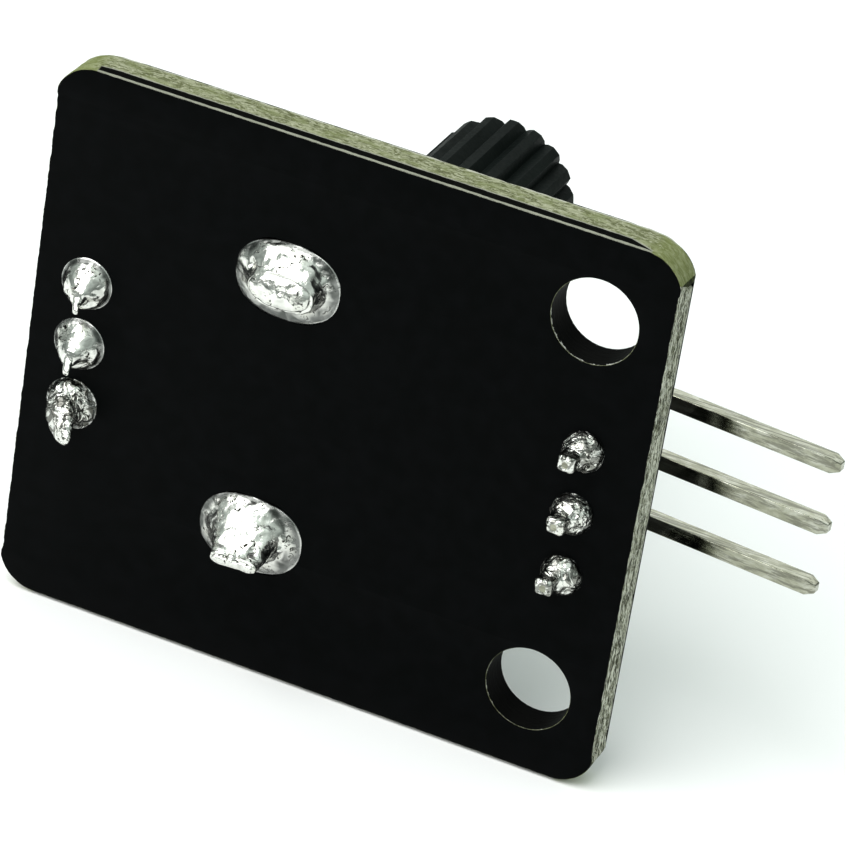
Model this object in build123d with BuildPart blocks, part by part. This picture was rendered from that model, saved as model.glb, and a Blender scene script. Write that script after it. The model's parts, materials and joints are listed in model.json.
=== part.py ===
"""Rotary encoder module: a panel encoder soldered to a small board with a bent pin header.

Frame: millimetres, +Z up, board upright. The origin is on the shaft axis, on the cover face
where the threaded bushing starts. +Y runs along the shaft to its knob end, +X runs along the
board to the header. Depths behind the cover face are negative Y.
"""
from build123d import *
import os
from math import cos, radians, sin, tan

os.makedirs("parts", exist_ok=True)

# Board
body_height = 6.5           # cover face to the board's front
board_thickness = 1.5
mask_thickness = 0.04
board_length = 24.15
board_width = 22.0
board_left = -9.8           # X of the short edge at the terminals
corner_radius = 1.55
short_edge_trim = 0.08      # the short edges are cut this far inside the corner arcs
score_inset = 0.13          # the V-score leaves a ridge this high along the long edges
score_depth = 0.45
ridge_corner_radius = 2.4
ridge_end_inset = 0.35
mask_pullback = 0.02
copper_thickness = 0.02

# Drilled features
mount_hole_radius = 1.65
mount_hole_x = 11.48
mount_hole_spacing = 15.2
plating = 0.04
pin_hole_radius = 0.5
terminal_x = -7.7
terminal_pitch = 2.5
terminal_pad_radius = 1.02
header_x = 11.95
header_pitch = 2.54
header_pad_radius = 0.8
lug_spacing = 10.5
slot_length = 2.4
slot_width = 1.0
lug_pad_length = 4.1
lug_pad_width = 3.05

# Header
pin_side = 0.6
pin_stub = 1.35             # pin length behind the board
header_tilt = 6.4           # the whole header is soldered askew, its run leaning to the board, in degrees
pin_run_height = 5.02       # centre of the run above the middle of the board, along the leaning pin
pin_run_length = 7.54
pin_bend_radius = 0.75
pin_tip_chamfer = 0.13      # in from each side
pin_tip_taper = 0.36        # back along the long end
header_block_height = 2.54
header_block_width = 2.5
header_block_notch = 0.4

# Encoder cover, base and bushing
cover_length = 12.2         # along X
cover_width = 11.0          # along Z, over the side walls
sheet = 0.5
side_wall_length = 9.0
side_wall_bottom = -5.3
skirt_bottom = -1.6
lug_width = 2.0
lug_stub = 1.1              # lug length behind the board
cover_bend_radius = 0.45
bushing_radius = 3.5
bushing_length = 7.0
bushing_neck_radius = 3.3   # staked through the cover, with a run-out groove for the thread
bushing_neck_top = 0.3
bushing_bore_radius = 3.05
bushing_flange_radius = 3.75
bushing_flange = 0.4
bushing_chamfer = 0.4
chamber_radius = 4.6
floor_top = -5.2
floor_bottom = -6.2
foot_radius = 0.6
terminal_ledge = 1.0

# Terminals
terminal_width = 0.8
terminal_leg_width = 0.5
terminal_sheet = 0.3
terminal_stub = 0.9
strip_y = -5.05             # centre of the contact strips on the chamber floor
wiper_tip_y = -3.77
wiper_width = 0.5

# Shaft and rotor
shaft_radius = 3.0
shaft_tip = 14.25
knurl_start = 7.3
knurl_teeth = 18
ring_groove_radius = 2.3
ring_top = -0.95
ring_thickness = 0.4
ring_outer_radius = 3.7
collar_radius = 2.7
collar_bottom = -1.95
drive_radius = 2.2
drive_flats = 3.2
pivot_radius = 1.0
pivot_clearance = 0.05
pivot_bottom = -5.9
rotor_radius = 4.45
rotor_web_top = -2.4
rotor_bottom = -3.4
crown_inner_radius = 3.7
crown_top = -2.0
rotor_hub_radius = 3.2
detents = 24
detent_depth = 0.3
disc_thickness = 0.15
disc_radius = 4.3
disc_windows = 12
window_inner = 2.45
window_outer = 4.0
window_width = 0.75
valley_radius = 0.4
ring_gap = 1.4
spring_inner_radius = 3.85
spring_sheet = 0.2
spring_arm_z = 4.05
spring_arm_width = 0.45
tip_chamfer = 0.25
knurl_groove_side = 0.50
slot_gap = 1.0
slot_depth = 6.0
slot_angle = 18             # degrees from +X towards -Z

# Worked out from the dimensions above
front = -body_height
rear = front - board_thickness
laminate_front = front - mask_thickness
laminate_rear = rear + mask_thickness
board_right = board_left + board_length
board_mid = (board_left + board_right) / 2
milled_width = board_width - 2 * score_inset
header_block_length = 3 * header_pitch
lug_z = lug_spacing / 2
terminal_z = {"a": terminal_pitch, "common": 0.0, "b": -terminal_pitch}
header_z = [header_pitch, 0.0, -header_pitch]
board_middle = (front + rear) / 2
block_rise = tan(radians(header_tilt)) * header_block_width / 2     # one edge rests on the board
block_bottom = (board_thickness / 2) / cos(radians(header_tilt)) + block_rise
valley_axis_y = crown_top - detent_depth + valley_radius
spring_bump_y = crown_top - detent_depth + 0.1


def facing_front(height):
    """Plane across the shaft axis at a given Y, with local x along +X and local y along -Z."""
    return Plane(origin=(0, height, 0), x_dir=(1, 0, 0), z_dir=(0, 1, 0))


def save(piece, name):
    """Label a finished piece and write its STEP file."""
    piece.part.label = name
    export_step(piece.part, f"parts/{name}.step")


# ---------------------------------------------------------------- sketches shared by the board

with BuildSketch() as milled_outline:
    with Locations((board_mid, 0)):
        RectangleRounded(board_length + 2 * short_edge_trim, milled_width, corner_radius)
        Rectangle(board_length, board_width, mode=Mode.INTERSECT)

with BuildSketch() as ridge_outline:
    with Locations((board_mid, 0)):
        RectangleRounded(board_length - 2 * ridge_end_inset, board_width, ridge_corner_radius)

with BuildSketch() as mount_holes:
    with Locations((mount_hole_x, 0)):
        with GridLocations(0, mount_hole_spacing, 1, 2):
            Circle(mount_hole_radius)

with BuildSketch() as terminal_drills:
    with Locations((terminal_x, 0)):
        with GridLocations(0, terminal_pitch, 1, 3):
            Circle(pin_hole_radius + plating)

with BuildSketch() as header_drills:
    with Locations((header_x, 0)):
        with GridLocations(0, header_pitch, 1, 3):
            Circle(pin_hole_radius + plating)

with BuildSketch() as lug_slots:
    with GridLocations(0, lug_spacing, 1, 2):
        SlotOverall(slot_length + 2 * plating, slot_width + 2 * plating)

with BuildSketch() as terminal_pads:
    with Locations((terminal_x, 0)):
        with GridLocations(0, terminal_pitch, 1, 3):
            Circle(terminal_pad_radius)

with BuildSketch() as header_pads:
    with Locations((header_x, 0)):
        with GridLocations(0, header_pitch, 1, 3):
            Circle(header_pad_radius)

with BuildSketch() as lug_pads:
    with GridLocations(0, lug_spacing, 1, 2):
        SlotOverall(lug_pad_length, lug_pad_width)

# Three tracks on the front: each leaves its header pin, keeps clear of the body and joins a terminal.
track_width = 0.5
track_cover = 0.06
outer_track_z = 8.4
with BuildSketch() as front_tracks_outline:
    for side in (1, -1):
        with BuildLine():
            Polyline(
                (header_x, side * header_pitch),
                (8.6, side * (header_pitch + 3.35)),
                (7.2, side * outer_track_z),
                (-6.0, side * outer_track_z),
                (terminal_x, side * (outer_track_z - 1.7)),
                (terminal_x, side * terminal_pitch),
            )
        trace(line_width=track_width)
    with BuildLine():
        Polyline((header_x, 0), (terminal_x, 0))
    trace(line_width=track_width)
    for drills in (terminal_pads, header_pads):
        add(drills.sketch, mode=Mode.SUBTRACT)

# ---------------------------------------------------------------- board

with BuildPart() as board_laminate:
    with BuildSketch(facing_front(laminate_front)):
        add(ridge_outline.sketch)
    extrude(amount=laminate_rear - laminate_front)
    for side in (1, -1):
        edge_z = side * board_width / 2
        with BuildSketch(Plane.YZ.offset(board_left)):
            with BuildLine():
                Polyline(
                    (rear, edge_z - side * score_inset),
                    (rear + score_depth, edge_z),
                    (rear + score_depth, edge_z + side * score_inset),
                    (rear, edge_z + side * score_inset),
                    close=True,
                )
            make_face()
        extrude(amount=board_length, mode=Mode.SUBTRACT)
    with BuildSketch(facing_front(laminate_front)):
        add(milled_outline.sketch)
    extrude(amount=laminate_rear - laminate_front)
    with BuildSketch(facing_front(laminate_front)):
        for cut in (mount_holes, terminal_drills, header_drills, lug_slots):
            add(cut.sketch)
    extrude(amount=laminate_rear - laminate_front, mode=Mode.SUBTRACT)
save(board_laminate, "board_laminate")

with BuildPart() as solder_mask_rear:
    with BuildSketch(facing_front(rear)):
        offset(milled_outline.sketch, amount=-mask_pullback)
        for cut in (mount_holes, terminal_pads, header_pads, lug_pads):
            add(cut.sketch, mode=Mode.SUBTRACT)
    extrude(amount=mask_thickness)
save(solder_mask_rear, "solder_mask_rear")

with BuildPart() as front_tracks:
    with BuildSketch(facing_front(laminate_front)):
        add(front_tracks_outline.sketch)
    extrude(amount=copper_thickness)
save(front_tracks, "front_tracks")

with BuildPart() as solder_mask_front:
    with BuildSketch(facing_front(laminate_front)):
        for outline in (milled_outline, ridge_outline):
            offset(outline.sketch, amount=-mask_pullback, mode=Mode.ADD)
        for cut in (mount_holes, terminal_pads, header_pads, lug_pads):
            add(cut.sketch, mode=Mode.SUBTRACT)
    extrude(amount=mask_thickness)
    with BuildSketch(facing_front(front)):
        offset(front_tracks_outline.sketch, amount=track_cover)
        for cut in (terminal_pads, header_pads, lug_pads):
            add(cut.sketch, mode=Mode.SUBTRACT)
        with Locations((header_x, 0)):
            Rectangle(header_block_width, header_block_length, mode=Mode.SUBTRACT)
    extrude(amount=copper_thickness)
    add(front_tracks.part, mode=Mode.SUBTRACT)
save(solder_mask_front, "solder_mask_front")

silk_line = 0.2
silk_thickness = 0.04
silk_ring_radius = 2.45
silk_gap = 0.35
bracket_arm = 1.6


def outline_frame(length, width):
    """Thin rectangular outline of the given inner size, centred on the current location."""
    Rectangle(length + 2 * silk_line, width + 2 * silk_line)
    Rectangle(length, width, mode=Mode.SUBTRACT)


with BuildSketch() as body_brackets:
    bracket_length = cover_length + 2 * silk_gap
    bracket_width = cover_width + 2 * silk_gap
    outline_frame(bracket_length, bracket_width)
    Rectangle(bracket_length - 2 * bracket_arm, bracket_width + 1, mode=Mode.SUBTRACT)
    Rectangle(bracket_length + 1, bracket_width - 2 * bracket_arm, mode=Mode.SUBTRACT)

with BuildPart() as silkscreen_front:
    with BuildSketch(facing_front(front)):
        with Locations((header_x, 0)):
            outline_frame(header_block_width + 2 * silk_gap, header_block_length + 2 * silk_gap)
        add(body_brackets.sketch)
        with Locations((mount_hole_x, 0)):
            with GridLocations(0, mount_hole_spacing, 1, 2):
                Circle(silk_ring_radius)
        with Locations((mount_hole_x, 0)):
            with GridLocations(0, mount_hole_spacing, 1, 2):
                Circle(silk_ring_radius - silk_line, mode=Mode.SUBTRACT)
        with Locations((header_x - 2.6, header_pitch + 1.3)):
            RegularPolygon(0.5, 3)
    extrude(amount=silk_thickness)
    add(solder_mask_front.part, mode=Mode.SUBTRACT)
save(silkscreen_front, "silkscreen_front")


def plated_holes(drills, pads):
    """Copper pads on both faces joined by the plated walls of the holes."""
    with BuildPart() as eyelets:
        with BuildSketch(facing_front(laminate_front)):
            add(drills.sketch)
        extrude(amount=laminate_rear - laminate_front)
        for face_y in (laminate_front, rear):
            with BuildSketch(facing_front(face_y)):
                add(pads.sketch)
            extrude(amount=mask_thickness)
        with BuildSketch(facing_front(front)):
            offset(drills.sketch, amount=-plating)
        extrude(amount=-board_thickness, mode=Mode.SUBTRACT)
    return eyelets


save(plated_holes(terminal_drills, terminal_pads), "plated_terminal_holes")
save(plated_holes(header_drills, header_pads), "plated_header_holes")
save(plated_holes(lug_slots, lug_pads), "plated_lug_slots")

# ---------------------------------------------------------------- header

lean_x = Vector(cos(radians(header_tilt)), -sin(radians(header_tilt)), 0)
lean_y = Vector(sin(radians(header_tilt)), cos(radians(header_tilt)), 0)


def across_header(height):
    """Plane square to the leaning pins, at a height along them from the middle of the board."""
    return Plane(origin=Vector(header_x, board_middle, 0) + lean_y * height, x_dir=lean_x, z_dir=lean_y)


with BuildPart() as header_block:
    with BuildSketch(across_header(block_bottom)):
        Rectangle(header_block_width, header_block_length)
        for side_x in (-header_block_width / 2, header_block_width / 2):
            for gap_z in (-1.5, -0.5, 0.5, 1.5):
                with Locations((side_x, gap_z * header_pitch)):
                    Rectangle(2 * header_block_notch, 2 * header_block_notch, rotation=45, mode=Mode.SUBTRACT)
        with GridLocations(0, header_pitch, 1, 3):
            Rectangle(pin_side, pin_side, mode=Mode.SUBTRACT)
    extrude(amount=header_block_height)
save(header_block, "header_block")


def header_pin(pin_z):
    """Square pin: up through the board and the block, then bent sideways towards +X."""
    stub_end = -board_thickness / 2 - pin_stub
    side_plane = Plane(origin=(header_x, board_middle, pin_z), x_dir=lean_x, z_dir=(0, 0, 1))
    with BuildPart() as pin:
        with BuildLine(side_plane) as path:
            corner = (0, pin_run_height)
            FilletPolyline((0, stub_end), corner, (pin_run_length, pin_run_height), radius=pin_bend_radius)
        stub_plane = across_header(stub_end)
        with BuildSketch(Plane(origin=stub_plane.origin + Vector(0, 0, pin_z), x_dir=lean_x, z_dir=lean_y)):
            Rectangle(pin_side, pin_side)
        sweep(path=path.line)
        stub_face = pin.faces().sort_by(Axis.Y)[0]
        run_face = pin.faces().sort_by(Axis.X)[-1]
        chamfer(stub_face.edges(), length=pin_tip_chamfer)
        chamfer(run_face.edges(), length=pin_tip_chamfer, length2=pin_tip_taper, reference=run_face)
    return pin


header_pins = [header_pin(pin_z) for pin_z in header_z]
for number, pin in enumerate(header_pins, start=1):
    save(pin, f"header_pin_{number}")

# ---------------------------------------------------------------- encoder shell

with BuildPart() as encoder_cover:
    with BuildSketch(facing_front(0)):
        Rectangle(cover_length, cover_width)
    extrude(amount=skirt_bottom)
    for side in (1, -1):
        with BuildSketch(facing_front(skirt_bottom)):
            with Locations((0, side * (cover_width - sheet) / 2)):
                Rectangle(side_wall_length, sheet)
        extrude(amount=side_wall_bottom - skirt_bottom)
    top_edges = encoder_cover.faces().sort_by(Axis.Y)[-1].edges()
    fillet(top_edges, radius=cover_bend_radius)
    with BuildSketch(facing_front(-sheet)):
        Rectangle(cover_length - 2 * sheet, cover_width - 2 * sheet)
    extrude(amount=skirt_bottom + sheet, mode=Mode.SUBTRACT)
    with BuildSketch(facing_front(-sheet)):
        Circle(bushing_neck_radius)
    extrude(amount=sheet, mode=Mode.SUBTRACT)
    lug_profile_top = side_wall_bottom
    for side in (1, -1):
        with BuildSketch(Plane.XY.offset(side * lug_z - sheet / 2)):
            with BuildLine():
                Polyline(
                    (-lug_width / 2 - 0.5, lug_profile_top),
                    (lug_width / 2 + 0.5, lug_profile_top),
                    (lug_width / 2, lug_profile_top - 0.5),
                    (lug_width / 2, rear - lug_stub + 0.4),
                    (lug_width / 2 - 0.5, rear - lug_stub),
                    (-lug_width / 2 + 0.5, rear - lug_stub),
                    (-lug_width / 2, rear - lug_stub + 0.4),
                    (-lug_width / 2, lug_profile_top - 0.5),
                    close=True,
                )
            make_face()
        extrude(amount=sheet)
save(encoder_cover, "encoder_cover")

with BuildPart() as bushing:
    with BuildSketch(Plane.XY):
        with BuildLine():
            Polyline(
                (bushing_bore_radius, -sheet - bushing_flange),
                (bushing_flange_radius, -sheet - bushing_flange),
                (bushing_flange_radius, -sheet),
                (bushing_neck_radius, -sheet),
                (bushing_neck_radius, bushing_neck_top),
                (bushing_radius, bushing_neck_top),
                (bushing_radius, bushing_length - bushing_chamfer),
                (bushing_radius - bushing_chamfer, bushing_length),
                (bushing_bore_radius, bushing_length),
                close=True,
            )
        make_face()
    revolve(axis=Axis.Y)
save(bushing, "bushing")


def contact_terminal(strip_z, tip_x):
    """Terminal: a leg through the board, a strip on the chamber floor and a raised wiper finger."""
    half = terminal_sheet / 2
    trim = (terminal_width - terminal_leg_width) / 2
    with BuildPart() as terminal:
        with BuildSketch(Plane.XY.offset(strip_z - terminal_width / 2)):
            with BuildLine():
                Polyline(
                    (terminal_x - half, strip_y + half),
                    (terminal_x - half, rear - terminal_stub),
                    (terminal_x + half, rear - terminal_stub),
                    (terminal_x + half, strip_y - half),
                    (tip_x - 2.6, strip_y - half),
                    (tip_x - 2.6, strip_y + half),
                    close=True,
                )
            make_face()
        extrude(amount=terminal_width)
        bend_point = (terminal_x - half, strip_y + half, strip_z)
        bend = terminal.edges().filter_by(Axis.Z).sort_by_distance(bend_point)[0]
        fillet(bend, radius=terminal_sheet)
        for side in (1, -1):
            with BuildSketch(Plane.YZ.offset(terminal_x - terminal_sheet)):
                with BuildLine():
                    edge_z = strip_z + side * terminal_width / 2
                    Polyline(
                        (strip_y - 0.6, edge_z),
                        (strip_y - 0.6 - trim, edge_z - side * trim),
                        (rear - terminal_stub + 0.5, edge_z - side * trim),
                        (rear - terminal_stub, edge_z - side * (trim + 0.12)),
                        (rear - terminal_stub - 0.1, edge_z),
                        close=True,
                    )
                make_face()
            extrude(amount=2 * terminal_sheet, mode=Mode.SUBTRACT)
        with BuildSketch(Plane.XY.offset(strip_z - wiper_width / 2)):
            with BuildLine():
                finger_low = strip_y + half
                Polyline(
                    (tip_x - 2.9, finger_low - 0.1),
                    (tip_x - 2.9, finger_low),
                    (tip_x - 0.25, wiper_tip_y),
                    (tip_x + 0.05, wiper_tip_y),
                    (tip_x + 0.35, wiper_tip_y - 0.35),
                    (tip_x + 0.2, wiper_tip_y - 0.42),
                    (tip_x - 0.1, wiper_tip_y - 0.12),
                    (tip_x - 2.6, finger_low - 0.1),
                    close=True,
                )
            make_face()
        extrude(amount=wiper_width)
    return terminal


terminals = {
    "a": contact_terminal(terminal_z["a"], 1.0),
    "common": contact_terminal(terminal_z["common"], -1.9),
    "b": contact_terminal(terminal_z["b"], 1.3),
}
for name, terminal in terminals.items():
    save(terminal, f"terminal_{name}")

base_length = cover_length - 2 * sheet
base_width = cover_width - 2 * sheet
with BuildPart() as encoder_base:
    with BuildSketch(facing_front(floor_bottom)):
        Rectangle(base_length, base_width)
    extrude(amount=-sheet - floor_bottom)
    with BuildSketch(facing_front(skirt_bottom)):
        with Locations((-base_length / 2 - terminal_ledge / 2, 0)):
            Rectangle(terminal_ledge, 2 * terminal_pitch + 2.2)
    extrude(amount=floor_bottom - skirt_bottom)
    with BuildSketch(facing_front(-sheet)):
        Circle(chamber_radius)
    extrude(amount=floor_top + sheet, mode=Mode.SUBTRACT)
    with BuildSketch(facing_front(floor_top)):
        Circle(pivot_radius + pivot_clearance)
    extrude(amount=pivot_bottom - 0.1 - floor_top, mode=Mode.SUBTRACT)
    with BuildSketch(facing_front(front)):
        with GridLocations(base_length - 2 * foot_radius - 0.6, base_width - 2 * foot_radius - 0.6, 2, 2):
            Circle(foot_radius)
    extrude(amount=floor_bottom - front)
    for terminal in terminals.values():
        add(terminal.part, mode=Mode.SUBTRACT)
save(encoder_base, "encoder_base")


with BuildPart() as detent_spring:
    with BuildSketch(facing_front(-sheet)):
        Circle(chamber_radius)
        Circle(spring_inner_radius, mode=Mode.SUBTRACT)
    extrude(amount=-spring_sheet)
    for side in (1, -1):
        with BuildSketch(Plane.XY.offset(side * spring_arm_z - spring_arm_width / 2)):
            with BuildLine():
                Polyline(
                    (-1.6, -sheet - spring_sheet),
                    (-1.2, -sheet - spring_sheet),
                    (-0.45, spring_bump_y + 0.5),
                    (0, spring_bump_y + spring_sheet),
                    (0.45, spring_bump_y + 0.5),
                    (1.1, spring_bump_y + 0.75),
                    (1.1, spring_bump_y + 0.55),
                    (0.5, spring_bump_y + 0.3),
                    (0, spring_bump_y),
                    (-0.5, spring_bump_y + 0.3),
                    close=True,
                )
            make_face()
        extrude(amount=spring_arm_width)
save(detent_spring, "detent_spring")

# ---------------------------------------------------------------- turning parts

with BuildSketch() as code_windows:
    with PolarLocations((window_inner + window_outer) / 2, disc_windows):
        Rectangle(window_outer - window_inner, window_width)

with BuildSketch() as drive_section:
    Circle(drive_radius)
    Rectangle(2 * drive_radius, drive_flats, mode=Mode.INTERSECT)

with BuildPart() as code_disc:
    with BuildSketch(facing_front(rotor_bottom)):
        Circle(disc_radius)
        Circle(pivot_radius, mode=Mode.SUBTRACT)
        add(code_windows.sketch, mode=Mode.SUBTRACT)
    extrude(amount=-disc_thickness)
save(code_disc, "code_disc")

with BuildPart(facing_front(valley_axis_y)) as rotor:
    with BuildSketch(facing_front(rotor_bottom)):
        Circle(rotor_radius)
    extrude(amount=rotor_web_top - rotor_bottom)
    with BuildSketch(facing_front(rotor_web_top)):
        Circle(rotor_radius)
        Circle(crown_inner_radius, mode=Mode.SUBTRACT)
    extrude(amount=crown_top - rotor_web_top)
    with BuildSketch(facing_front(rotor_web_top)):
        Circle(rotor_hub_radius)
    extrude(amount=collar_bottom - rotor_web_top)
    with PolarLocations((crown_inner_radius + rotor_radius) / 2, detents):
        Cylinder(valley_radius, 1.2, rotation=(0, 90, 0), mode=Mode.SUBTRACT)
    with BuildSketch(facing_front(rotor_bottom)):
        add(code_windows.sketch)
    extrude(amount=-disc_thickness)
    with BuildSketch(facing_front(rotor_bottom)):
        add(drive_section.sketch)
    extrude(amount=collar_bottom - rotor_bottom, mode=Mode.SUBTRACT)
save(rotor, "rotor")

with BuildPart() as retaining_ring:
    with BuildSketch(facing_front(ring_top)):
        Circle(ring_outer_radius)
        Circle(ring_groove_radius, mode=Mode.SUBTRACT)
        with Locations((0, ring_outer_radius)):
            Rectangle(ring_gap, 2 * ring_outer_radius, mode=Mode.SUBTRACT)
    extrude(amount=-ring_thickness)
save(retaining_ring, "retaining_ring")

with BuildPart(facing_front(0)) as shaft:
    with BuildSketch(Plane.XY):
        with BuildLine():
            Polyline(
                (0, pivot_bottom),
                (pivot_radius - 0.2, pivot_bottom),
                (pivot_radius, pivot_bottom + 0.2),
                (pivot_radius, rotor_bottom),
                (drive_radius, rotor_bottom),
                (drive_radius, collar_bottom),
                (collar_radius, collar_bottom),
                (collar_radius, ring_top - ring_thickness),
                (ring_groove_radius, ring_top - ring_thickness),
                (ring_groove_radius, ring_top),
                (shaft_radius, ring_top),
                (shaft_radius, shaft_tip - tip_chamfer),
                (shaft_radius - tip_chamfer, shaft_tip),
                (0, shaft_tip),
                close=True,
            )
        make_face()
    revolve(axis=Axis.Y)
    with BuildSketch(facing_front(rotor_bottom)):
        Circle(drive_radius + 0.1)
        add(drive_section.sketch, mode=Mode.SUBTRACT)
    extrude(amount=collar_bottom - rotor_bottom, mode=Mode.SUBTRACT)
    with BuildSketch(facing_front(knurl_start)):
        with PolarLocations(shaft_radius, knurl_teeth):
            Rectangle(knurl_groove_side, knurl_groove_side, rotation=45)
    extrude(amount=shaft_tip - knurl_start, mode=Mode.SUBTRACT)
    with BuildSketch(facing_front(shaft_tip)):
        Rectangle(2 * shaft_radius + 0.5, slot_gap, rotation=slot_angle)
    extrude(amount=-slot_depth, mode=Mode.SUBTRACT)
save(shaft, "shaft")

# ---------------------------------------------------------------- solder


def round_joint(x, z, pad_radius, tip_radius, height, sag, pin):
    """Solder fillet round a pin behind the board, with the solder that fills the plated hole."""
    with BuildPart() as joint:
        with BuildSketch(Plane(origin=(x, rear, z), x_dir=(1, 0, 0), z_dir=(0, 0, 1))):
            with BuildLine():
                Line((0, -height), (tip_radius, -height))
                SagittaArc((tip_radius, -height), (pad_radius, 0), sag)
                Polyline((pad_radius, 0), (pin_hole_radius, 0), (pin_hole_radius, board_thickness))
                Polyline((pin_hole_radius, board_thickness), (0, board_thickness), (0, -height))
            make_face()
        revolve(axis=Axis((x, 0, z), (0, 1, 0)))
        add(pin.part, mode=Mode.SUBTRACT)
    return joint


for name, terminal in terminals.items():
    joint = round_joint(terminal_x, terminal_z[name], terminal_pad_radius, 0.36, 1.0, 0.16, terminal)
    save(joint, f"solder_terminal_{name}")

for number, (pin_z, pin) in enumerate(zip(header_z, header_pins), start=1):
    joint = round_joint(header_x, pin_z, header_pad_radius, 0.5, 0.62, -0.12, pin)
    save(joint, f"solder_header_{number}")


def lug_joint(side, height, top_width, lean):
    """Solder mound over a cover lug, leaning downwards by the given amount at its top."""
    with BuildPart() as joint:
        with BuildSketch(facing_front(rear)):
            with Locations((0, -side * lug_z)):
                SlotOverall(lug_pad_length, lug_pad_width)
        with BuildSketch(facing_front(rear - 0.5 * height)):
            with Locations((0, -side * lug_z + 0.35 * lean)):
                SlotOverall(0.5 * (lug_pad_length + lug_width) + 0.2, 0.5 * (lug_pad_width + top_width))
        with BuildSketch(facing_front(rear - height)):
            with Locations((0, -side * lug_z + lean)):
                SlotOverall(lug_width + 0.3, top_width)
        loft()
        with BuildSketch(facing_front(rear)):
            with Locations((0, -side * lug_z)):
                SlotOverall(slot_length, slot_width)
        extrude(amount=board_thickness)
        add(encoder_cover.part, mode=Mode.SUBTRACT)
    return joint


save(lug_joint(1, 1.35, 1.3, 0.2), "solder_lug_upper")
save(lug_joint(-1, 2.0, 0.9, 0.45), "solder_lug_lower")
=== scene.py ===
"""Looks of the rotary encoder module: board, solder, encoder, pins, floor, light and camera.

Sizes are in millimetres and become metres where a mesh is made. X runs along the board to the
header, Y along the shaft to its knob end, Z up. The board's rear face looks towards -Y.
"""
import json
import math

import bmesh
import bpy
from mathutils import Matrix, Vector, geometry, noise


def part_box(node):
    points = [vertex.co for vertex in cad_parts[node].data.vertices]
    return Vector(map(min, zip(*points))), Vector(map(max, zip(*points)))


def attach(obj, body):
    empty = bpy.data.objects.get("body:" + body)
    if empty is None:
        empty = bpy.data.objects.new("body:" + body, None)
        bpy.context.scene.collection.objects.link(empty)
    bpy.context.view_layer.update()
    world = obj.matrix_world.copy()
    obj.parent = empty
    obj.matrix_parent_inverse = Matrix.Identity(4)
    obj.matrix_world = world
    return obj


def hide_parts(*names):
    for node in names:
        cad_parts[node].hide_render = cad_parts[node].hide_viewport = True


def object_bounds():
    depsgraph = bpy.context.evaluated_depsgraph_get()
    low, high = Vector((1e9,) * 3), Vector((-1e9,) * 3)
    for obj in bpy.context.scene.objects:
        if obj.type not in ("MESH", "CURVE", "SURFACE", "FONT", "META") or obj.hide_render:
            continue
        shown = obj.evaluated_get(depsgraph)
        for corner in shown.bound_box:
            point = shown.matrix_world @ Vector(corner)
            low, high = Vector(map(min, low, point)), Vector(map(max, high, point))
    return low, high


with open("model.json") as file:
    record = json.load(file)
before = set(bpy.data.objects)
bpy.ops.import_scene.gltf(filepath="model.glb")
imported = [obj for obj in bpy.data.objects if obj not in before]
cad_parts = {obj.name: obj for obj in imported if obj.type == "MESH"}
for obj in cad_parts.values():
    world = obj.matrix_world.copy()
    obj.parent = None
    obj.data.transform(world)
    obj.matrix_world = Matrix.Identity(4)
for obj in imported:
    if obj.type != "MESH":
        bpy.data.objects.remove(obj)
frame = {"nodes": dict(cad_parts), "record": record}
cad_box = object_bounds()
nodes = frame["nodes"]
mounts = {mount["name"]: mount for mount in frame["record"]["mounts"]}
MM = 0.001


def node_box(node):
    """Lowest and highest corner of a CAD node, in millimetres."""
    low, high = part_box(node)
    return low / MM, high / MM


def node_centre(node):
    low, high = node_box(node)
    return (low + high) / 2


# ---------------------------------------------------------------- measures taken from the frame

REAR_Y = node_box("solder_mask_rear")[0].y
LAMINATE_LOW, LAMINATE_HIGH = node_box("board_laminate")
MASK_THICKNESS = LAMINATE_LOW.y - REAR_Y
HOLE_RADIUS = mounts["board_holes"]["dims"]["hole_r_mm"]
HOLE_X = mounts["board_holes"]["pos_m"][0] / MM
HOLE_Z = mounts["board_holes"]["dims"]["spacing_y_mm"] / 2
BUSHING_RADIUS = mounts["bushing"]["dims"]["r_mm"]
TERMINALS = ("a", "common", "b")
HEADER_NUMBERS = (1, 2, 3)

# ---------------------------------------------------------------- node material helpers


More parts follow.
